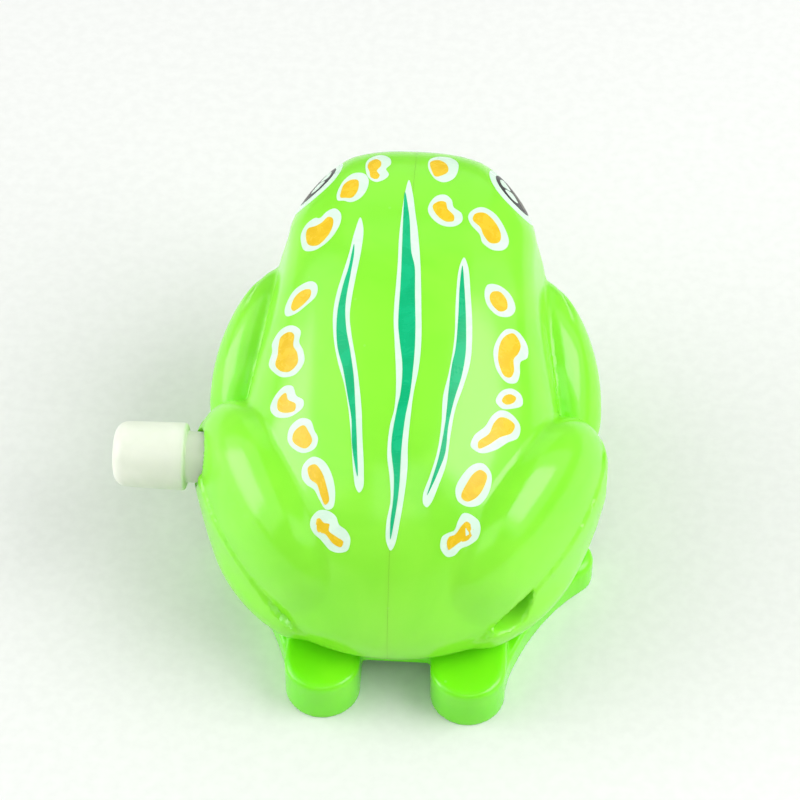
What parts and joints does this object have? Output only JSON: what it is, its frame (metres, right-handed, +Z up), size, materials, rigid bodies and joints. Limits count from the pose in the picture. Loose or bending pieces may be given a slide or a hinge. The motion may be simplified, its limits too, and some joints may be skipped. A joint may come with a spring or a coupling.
{
  "type": "wind-up jumping frog",
  "caption": "Squat moulded plastic wind-up frog toy with a side knob, printed back, clockwork inside and sprung hind legs that kick it forward.",
  "frame": {"origin": "on the ground, under the middle of the whole outline, knob included", "axes": "+Y the way the frog faces, +X its right side, +Z up"},
  "size_m": [0.0592, 0.0624, 0.0392],
  "materials": {
    "shell": "glossy moulded polystyrene, bright grass green, printed in teal, white and amber",
    "belly": "glossy moulded polystyrene, bright grass green",
    "legs": "glossy moulded plastic, bright green, slightly translucent",
    "knob": "milky white moulded plastic, satin gloss",
    "gear_plastic": "natural acetal, low sheen",
    "steel": "zinc plated steel, lightly brushed",
    "spring_steel": "blued spring steel, oiled",
    "brass": "stamped brass, satin"
  },
  "bodies": {
    "body": {"shell_left": "shell", "shell_right": "shell", "belly_plate": "belly", "leg_pivot_pin": "steel", "kick_spring": "spring_steel", "mainspring": "spring_steel", "idler_pin": "steel", "motor_plate_left": "steel", "motor_plate_right": "steel", "motor_pillar_1": "steel", "motor_pillar_2": "steel", "motor_pillar_3": "steel", "belly_screw_front_left": "steel", "belly_screw_front_right": "steel", "belly_screw_rear_left": "steel", "belly_screw_rear_right": "steel", "motor_screw_left_1": "steel", "motor_screw_left_2": "steel", "motor_screw_right_1": "steel", "motor_screw_right_2": "steel"},
    "winding": {"winding_knob": "knob", "winding_arbor": "steel", "ratchet_wheel": "steel"},
    "drive": {"great_gear": "brass", "click": "spring_steel"},
    "idler": {"idler_gear": "gear_plastic"},
    "cam": {"cam_shaft": "steel", "cam_pinion": "gear_plastic", "kick_cam": "gear_plastic"},
    "legs": {"hind_legs": "legs"}
  },
  "joints": [
    {"name": "winding_turn", "type": "hinge", "parent": "body", "child": "winding", "pos_m": [0, -0.0066, 0.018], "axis": [1, 0, 0], "continuous": true},
    {"name": "drive_turn", "type": "hinge", "parent": "body", "child": "drive", "pos_m": [0, -0.0066, 0.018], "axis": [1, 0, 0], "continuous": true},
    {"name": "idler_turn", "type": "hinge", "parent": "body", "child": "idler", "pos_m": [0, 0.00228, 0.02382], "axis": [1, 0, 0], "continuous": true},
    {"name": "cam_turn", "type": "hinge", "parent": "body", "child": "cam", "pos_m": [0, 0.0025, 0.0152], "axis": [1, 0, 0], "continuous": true},
    {"name": "legs_kick", "type": "hinge", "parent": "body", "child": "legs", "pos_m": [0, 0.01, 0.0043], "axis": [1, 0, 0], "range_deg": [0, 16]}
  ],
  "couplings": [
    {"joint": "idler_turn", "follows": "drive_turn", "ratio": -3.2},
    {"joint": "cam_turn", "follows": "drive_turn", "ratio": 7.68}
  ]
}
